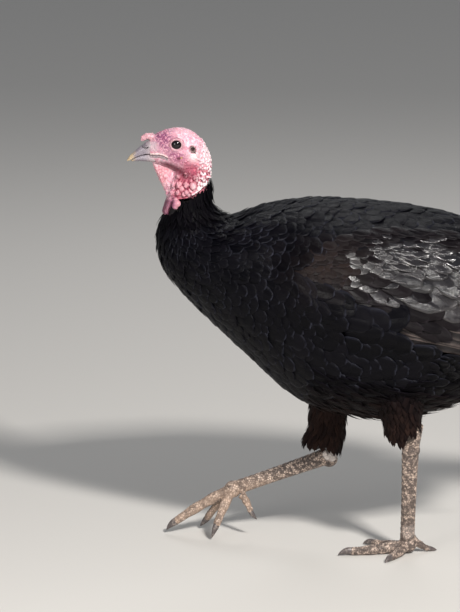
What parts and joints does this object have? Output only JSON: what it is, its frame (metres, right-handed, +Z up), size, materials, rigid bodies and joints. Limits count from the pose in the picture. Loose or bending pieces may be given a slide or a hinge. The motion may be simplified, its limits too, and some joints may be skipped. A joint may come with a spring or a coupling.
{
  "type": "domestic turkey",
  "caption": "Life-size still model of a black domestic turkey with a bare pink head, walking with one foot put forward and its wings folded.",
  "frame": {"origin": "centre of the bounding box's base, on the floor under the body", "axes": "the bird faces -X, its left side is towards -Y and +Z is up; the bill's tip and the tail's tip are the two ends along X"},
  "size_m": [0.8325, 0.3056, 0.6169],
  "materials": {
    "head_skin": "bare wrinkled skin, pink with purplish blotches, dull",
    "wattle": "bare red caruncled skin, slightly moist",
    "bill_horn": "blue-grey horn with a cream tip, satin",
    "eye": "black, wet gloss",
    "neck_feather": "black feathers with purplish edges, satin",
    "body_feather": "black feathers with a blue-grey sheen, satin",
    "wing_feather": "black-brown feathers with pale shafts, glossy",
    "tail_feather": "black feathers, glossy",
    "leg_scale": "grey-tan horny scales, dull",
    "claw": "dark grey horn, satin"
  },
  "bodies": {
    "root": {"bill_lower": "bill_horn", "bill_upper": "bill_horn", "claw_hind_left": "claw", "claw_hind_right": "claw", "claw_inner_left": "claw", "claw_inner_right": "claw", "claw_middle_left": "claw", "claw_middle_right": "claw", "claw_outer_left": "claw", "claw_outer_right": "claw", "eye_left": "eye", "eye_right": "eye", "head": "head_skin", "neck": "neck_feather", "shank_left": "leg_scale", "shank_right": "leg_scale", "snood": "wattle", "tail": "tail_feather", "thigh_left": "body_feather", "thigh_right": "body_feather", "throat": "wattle", "toe_hind_left": "leg_scale", "toe_hind_right": "leg_scale", "toe_inner_left": "leg_scale", "toe_inner_right": "leg_scale", "toe_middle_left": "leg_scale", "toe_middle_right": "leg_scale", "toe_outer_left": "leg_scale", "toe_outer_right": "leg_scale", "torso": "body_feather", "wing_left": "wing_feather", "wing_right": "wing_feather"}
  },
  "joints": []
}
